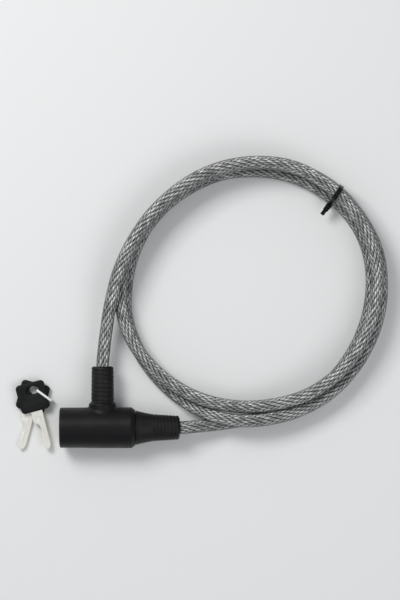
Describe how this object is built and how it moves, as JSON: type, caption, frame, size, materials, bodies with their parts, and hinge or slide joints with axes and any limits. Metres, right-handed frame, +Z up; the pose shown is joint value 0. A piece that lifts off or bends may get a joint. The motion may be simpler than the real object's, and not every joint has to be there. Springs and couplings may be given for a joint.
{
  "type": "laptop cable lock",
  "caption": "Keyed cable lock: black barrel with a ribbed side branch, snap-in plug, steel cable in clear vinyl wound in a ring with a tie, and keys on a strap.",
  "frame": {"origin": "on the barrel's axis, at the middle of the seat that a clamp bracket grips", "axes": "+X along the barrel towards the plug, +Y along the side branch, +Z up from the surface that the lock lies on"},
  "size_m": [0.2874, 0.2269, 0.0317],
  "materials": {
    "black_plastic": "satin black moulded jacket",
    "black_rubber": "smooth black rubber boot",
    "zinc": "plain zinc casting",
    "brass": "machined brass",
    "steel": "turned steel",
    "swaged_alloy": "swaged aluminium sleeve",
    "cable_vinyl": "clear vinyl over grey steel rope",
    "black_nylon": "black nylon tie",
    "bow_plastic": "black moulded bow",
    "key_nickel": "nickel-plated key blade",
    "white_nylon": "white nylon strap"
  },
  "bodies": {
    "lock": {"barrel_jacket": "black_plastic", "mouth_ring": "black_plastic", "lock_body": "zinc", "face_plate": "steel", "cylinder_sleeve": "brass", "sleeve_pin": "steel", "latch_spring": "steel", "ejector_spring": "steel", "fixed_ferrule": "swaged_alloy", "ferrule_pin": "steel", "cable_tail_fixed": "cable_vinyl", "t_boot": "black_rubber", "cable": "cable_vinyl", "cable_tie": "black_nylon"},
    "core": {"core": "brass", "core_clip": "steel", "wafer_1": "brass", "wafer_2": "brass", "wafer_3": "brass", "wafer_4": "brass", "wafer_5": "brass", "wafer_spring_1": "steel", "wafer_spring_2": "steel", "wafer_spring_3": "steel", "wafer_spring_4": "steel", "wafer_spring_5": "steel"},
    "latch": {"latch": "steel"},
    "ejector": {"ejector": "steel"},
    "plug": {"locking_pin": "steel", "plug_ferrule": "swaged_alloy", "plug_boot": "black_rubber", "cable_tail_plug": "cable_vinyl"},
    "keys": {"key_front_bow": "bow_plastic", "key_front_blade": "key_nickel", "key_rear_bow": "bow_plastic", "key_rear_blade": "key_nickel", "key_tie": "white_nylon"}
  },
  "joints": [
    {"name": "core_turn", "type": "hinge", "parent": "lock", "child": "core", "pos_m": [0, 0, 0], "axis": [1, 0, 0], "range_deg": [0, 90]},
    {"name": "latch_slide", "type": "slide", "parent": "lock", "child": "latch", "axis": [0, 0, 1], "range_m": [0, 0.0018], "deforming": ["latch_spring"]},
    {"name": "plug_pull", "type": "slide", "parent": "lock", "child": "plug", "axis": [1, 0, 0], "range_m": [0, 0.022], "deforming": ["cable"]},
    {"name": "ejector_slide", "type": "slide", "parent": "lock", "child": "ejector", "axis": [1, 0, 0], "range_m": [0, 0.0022], "deforming": ["ejector_spring"]},
    {"name": "keys_lift", "type": "slide", "parent": "lock", "child": "keys", "axis": [0, 0, 1], "range_m": [0, 0.08]}
  ],
  "couplings": [
    {"joint": "latch_slide", "follows": "core_turn", "m_per_rad": 0.0011459},
    {"joint": "ejector_slide", "follows": "plug_pull", "ratio": 0.1}
  ]
}
